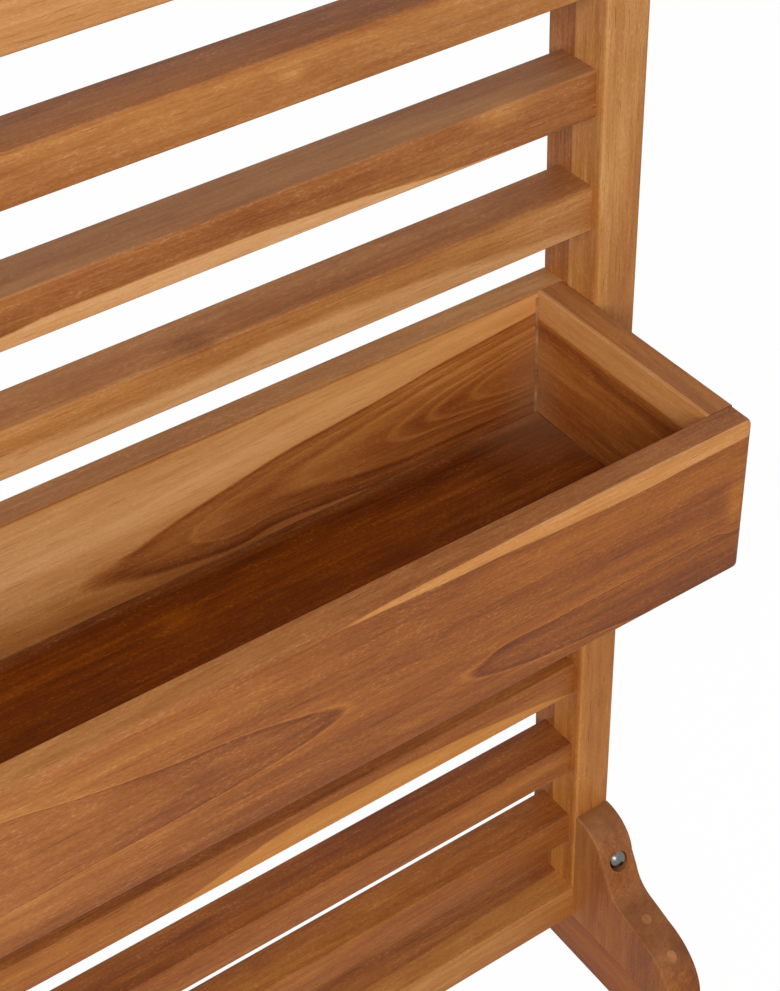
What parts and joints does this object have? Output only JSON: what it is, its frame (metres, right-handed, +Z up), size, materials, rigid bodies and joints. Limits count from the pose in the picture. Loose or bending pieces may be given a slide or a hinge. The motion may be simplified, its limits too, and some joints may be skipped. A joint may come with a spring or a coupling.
{
  "type": "privacy trellis with planter",
  "caption": "Free-standing teak privacy trellis: horizontal slats between posts, a long planter trough at waist height and curved front feet.",
  "frame": {"origin": "on the floor, in the middle of the footprint of the two feet", "axes": "+X along the trellis, front with the trough towards -Y, +Z up"},
  "size_m": [0.9, 0.335, 1.76],
  "materials": {
    "oiled_teak": "satin",
    "teak_plug": "satin",
    "hardwood_dowel": "matt",
    "stainless_steel": "polished"
  },
  "bodies": {
    "root": {"bottom_rail": "oiled_teak", "foot_bolt_washers": "stainless_steel", "foot_bolts": "stainless_steel", "foot_bracket_plugs": "teak_plug", "foot_bracket_screws": "stainless_steel", "foot_cap_nuts": "stainless_steel", "left_base_bar": "oiled_teak", "left_foot_bracket": "oiled_teak", "left_post": "oiled_teak", "lower_slat_1": "oiled_teak", "lower_slat_2": "oiled_teak", "lower_slat_3": "oiled_teak", "lower_slat_4": "oiled_teak", "lower_slat_5": "oiled_teak", "planter_back_board": "oiled_teak", "planter_corner_dowels": "hardwood_dowel", "planter_fixing_plugs": "teak_plug", "planter_fixing_screws": "stainless_steel", "planter_floor_board": "oiled_teak", "planter_front_board": "oiled_teak", "planter_left_end_board": "oiled_teak", "planter_right_end_board": "oiled_teak", "right_base_bar": "oiled_teak", "right_foot_bracket": "oiled_teak", "right_post": "oiled_teak", "top_rail": "oiled_teak", "upper_slat_1": "oiled_teak", "upper_slat_2": "oiled_teak", "upper_slat_3": "oiled_teak", "upper_slat_4": "oiled_teak", "upper_slat_5": "oiled_teak", "upper_slat_6": "oiled_teak", "upper_slat_7": "oiled_teak", "upper_slat_8": "oiled_teak"}
  },
  "joints": []
}
